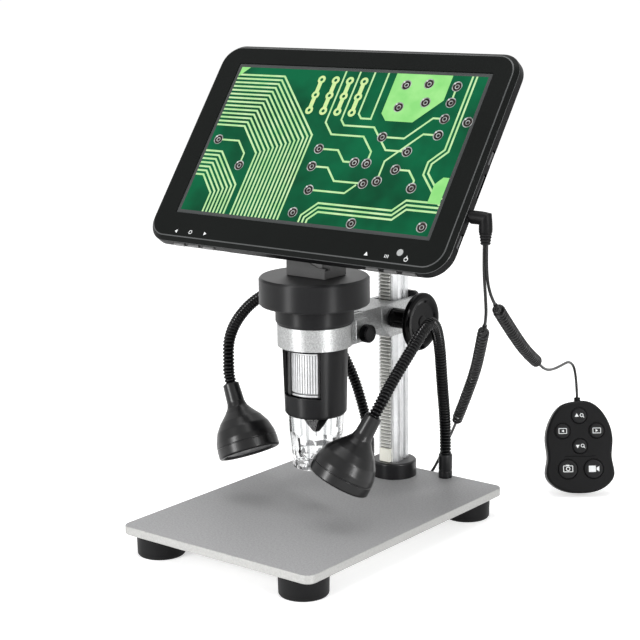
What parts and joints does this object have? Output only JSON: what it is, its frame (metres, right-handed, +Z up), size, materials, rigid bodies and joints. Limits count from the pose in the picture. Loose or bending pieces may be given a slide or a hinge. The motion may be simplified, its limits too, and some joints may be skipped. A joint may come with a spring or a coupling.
{
  "type": "lcd digital microscope",
  "caption": "Rack-column microscope with a tilting monitor on the scope, two gooseneck lamps over a flat stage and a corded button handset",
  "frame": {"origin": "centre of the base plate's top face, where the specimen lies", "axes": "+Z up along the column; the monitor faces -Y; +X is the side with the plug and the handset"},
  "size_m": [0.1978, 0.2371, 0.2435],
  "materials": {
    "plate_grey": "fine-grained satin paint",
    "rubber_black": "matt",
    "zinc_screw": "bright zinc",
    "black_plastic": "satin black moulding",
    "column_aluminium": "bright drawn bar",
    "rack_ivory": "ivory nylon",
    "ring_black": "satin black",
    "cast_silver": "sand-blasted casting",
    "scope_black": "satin black",
    "clear_plastic": "clear polished acrylic",
    "circuit_green": "solder mask",
    "steel": "turned",
    "knurled_silver": "ribbed",
    "bezel_black": "satin black front",
    "screen": "lit screen",
    "battery_foil": "wrapped pack",
    "gooseneck_black": "segmented spiral metal, lacquered",
    "lamp_black": "satin black",
    "lens_frost": "frosted lens",
    "cord_black": "satin jacket"
  },
  "bodies": {
    "stand": {"base_plate": "plate_grey", "rubber_feet": "rubber_black", "foot_screws": "zinc_screw", "wiring_cover": "black_plastic", "cable_gland": "black_plastic", "gooseneck_sleeves": "ring_black", "column": "column_aluminium", "gear_rack": "rack_ivory", "column_base_ring": "ring_black", "column_top_cap": "black_plastic", "handset_lower_shell": "black_plastic", "handset_upper_shell": "black_plastic", "handset_circuit_board": "circuit_green", "handset_cord_coil": "cord_black", "handset_cord_tail": "cord_black", "lamp_cord_coil": "cord_black", "lamp_cord_tail": "cord_black"},
    "carriage": {"carriage_arm": "cast_silver", "carriage_rear_plate": "ring_black", "scope_disc_housing": "scope_black", "scope_body": "scope_black", "sensor_board": "circuit_green", "ring_light_board": "circuit_green", "clear_snout": "clear_plastic", "hinge_bracket": "black_plastic"},
    "pinion": {"pinion_shaft": "steel", "focus_knob_left": "black_plastic", "focus_knob_right": "black_plastic"},
    "thumb_screw": {"clamp_thumb_screw": "black_plastic"},
    "wheel": {"focus_wheel": "knurled_silver"},
    "lens": {"lens_barrel": "scope_black"},
    "monitor": {"front_bezel": "bezel_black", "rear_cover": "black_plastic", "lcd_panel": "screen", "main_board": "circuit_green", "battery_pack": "battery_foil", "case_screws": "zinc_screw", "hinge_arm": "black_plastic", "hinge_pin": "steel", "plug_body": "black_plastic", "handset_cord_lead": "cord_black", "lamp_cord_lead": "cord_black"},
    "lamp_left": {"gooseneck_left": "gooseneck_black", "lamp_head_left": "lamp_black", "lamp_lens_left": "lens_frost"},
    "lamp_right": {"gooseneck_right": "gooseneck_black", "lamp_head_right": "lamp_black", "lamp_lens_right": "lens_frost"},
    "menu_key_1": {"menu_button_1": "rubber_black"},
    "menu_key_2": {"menu_button_2": "rubber_black"},
    "menu_key_3": {"menu_button_3": "rubber_black"},
    "menu_key_4": {"menu_button_4": "rubber_black"},
    "menu_key_5": {"menu_button_5": "rubber_black"},
    "menu_key_6": {"menu_button_6": "rubber_black"},
    "handset_key_up": {"handset_button_up": "rubber_black"},
    "handset_key_left": {"handset_button_left": "rubber_black"},
    "handset_key_right": {"handset_button_right": "rubber_black"},
    "handset_key_down": {"handset_button_down": "rubber_black"},
    "handset_key_photo": {"handset_button_photo": "rubber_black"},
    "handset_key_video": {"handset_button_video": "rubber_black"}
  },
  "joints": [
    {"name": "carriage_slide", "type": "slide", "parent": "stand", "child": "carriage", "axis": [0, 0, 1], "range_m": [-0.02, 0.04], "deforming": ["handset_cord_coil", "handset_cord_tail", "lamp_cord_coil", "lamp_cord_tail", "handset_cord_lead", "lamp_cord_lead"]},
    {"name": "pinion_turn", "type": "hinge", "parent": "carriage", "child": "pinion", "pos_m": [0, 0.05355, 0.09], "axis": [1, 0, 0], "range_deg": [-520, 265]},
    {"name": "clamp_screw_turn", "type": "hinge", "parent": "carriage", "child": "thumb_screw", "pos_m": [0.0124, 0.0224, 0.088], "axis": [1, 0, 0], "range_deg": [-30, 330]},
    {"name": "focus_wheel_turn", "type": "hinge", "parent": "carriage", "child": "wheel", "pos_m": [0, -0.0007, 0.072], "axis": [0, 0, 1], "range_deg": [-103, 103]},
    {"name": "lens_slide", "type": "slide", "parent": "carriage", "child": "lens", "axis": [0, 0, 1], "range_m": [-0.002, 0.002]},
    {"name": "monitor_tilt", "type": "hinge", "parent": "carriage", "child": "monitor", "pos_m": [0, 0.0015, 0.131], "axis": [1, 0, 0], "range_deg": [-8, 28]},
    {"name": "left_lamp_swivel", "type": "hinge", "parent": "stand", "child": "lamp_left", "pos_m": [-0.026, 0.0774, 0.0131], "axis": [0, 0, 1], "range_deg": [-25, 5]},
    {"name": "right_lamp_swivel", "type": "hinge", "parent": "stand", "child": "lamp_right", "pos_m": [0.026, 0.0774, 0.0131], "axis": [0, 0, 1], "range_deg": [0, 20]},
    {"name": "menu_key_1_press", "type": "slide", "parent": "monitor", "child": "menu_key_1", "axis": [0, 0.59, 0.8074], "range_m": [0, 0.0005], "stiffness_N_per_m": 50},
    {"name": "menu_key_2_press", "type": "slide", "parent": "monitor", "child": "menu_key_2", "axis": [0, 0.59, 0.8074], "range_m": [0, 0.0005], "stiffness_N_per_m": 50},
    {"name": "menu_key_3_press", "type": "slide", "parent": "monitor", "child": "menu_key_3", "axis": [0, 0.59, 0.8074], "range_m": [0, 0.0005], "stiffness_N_per_m": 50},
    {"name": "menu_key_4_press", "type": "slide", "parent": "monitor", "child": "menu_key_4", "axis": [0, 0.59, 0.8074], "range_m": [0, 0.0005], "stiffness_N_per_m": 50},
    {"name": "menu_key_5_press", "type": "slide", "parent": "monitor", "child": "menu_key_5", "axis": [0, 0.59, 0.8074], "range_m": [0, 0.0005], "stiffness_N_per_m": 50},
    {"name": "menu_key_6_press", "type": "slide", "parent": "monitor", "child": "menu_key_6", "axis": [0, 0.59, 0.8074], "range_m": [0, 0.0005], "stiffness_N_per_m": 50},
    {"name": "handset_key_up_press", "type": "slide", "parent": "stand", "child": "handset_key_up", "axis": [-0.6037, 0.7349, -0.309], "range_m": [0, 0.0006], "stiffness_N_per_m": 80},
    {"name": "handset_key_left_press", "type": "slide", "parent": "stand", "child": "handset_key_left", "axis": [-0.6037, 0.7349, -0.309], "range_m": [0, 0.0006], "stiffness_N_per_m": 80},
    {"name": "handset_key_right_press", "type": "slide", "parent": "stand", "child": "handset_key_right", "axis": [-0.6037, 0.7349, -0.309], "range_m": [0, 0.0006], "stiffness_N_per_m": 80},
    {"name": "handset_key_down_press", "type": "slide", "parent": "stand", "child": "handset_key_down", "axis": [-0.6037, 0.7349, -0.309], "range_m": [0, 0.0006], "stiffness_N_per_m": 80},
    {"name": "handset_key_photo_press", "type": "slide", "parent": "stand", "child": "handset_key_photo", "axis": [-0.6037, 0.7349, -0.309], "range_m": [0, 0.0006], "stiffness_N_per_m": 80},
    {"name": "handset_key_video_press", "type": "slide", "parent": "stand", "child": "handset_key_video", "axis": [-0.6037, 0.7349, -0.309], "range_m": [0, 0.0006], "stiffness_N_per_m": 80}
  ],
  "couplings": [
    {"joint": "pinion_turn", "follows": "carriage_slide", "rad_per_m": -222.22},
    {"joint": "focus_wheel_turn", "follows": "lens_slide", "rad_per_m": 872.68}
  ]
}
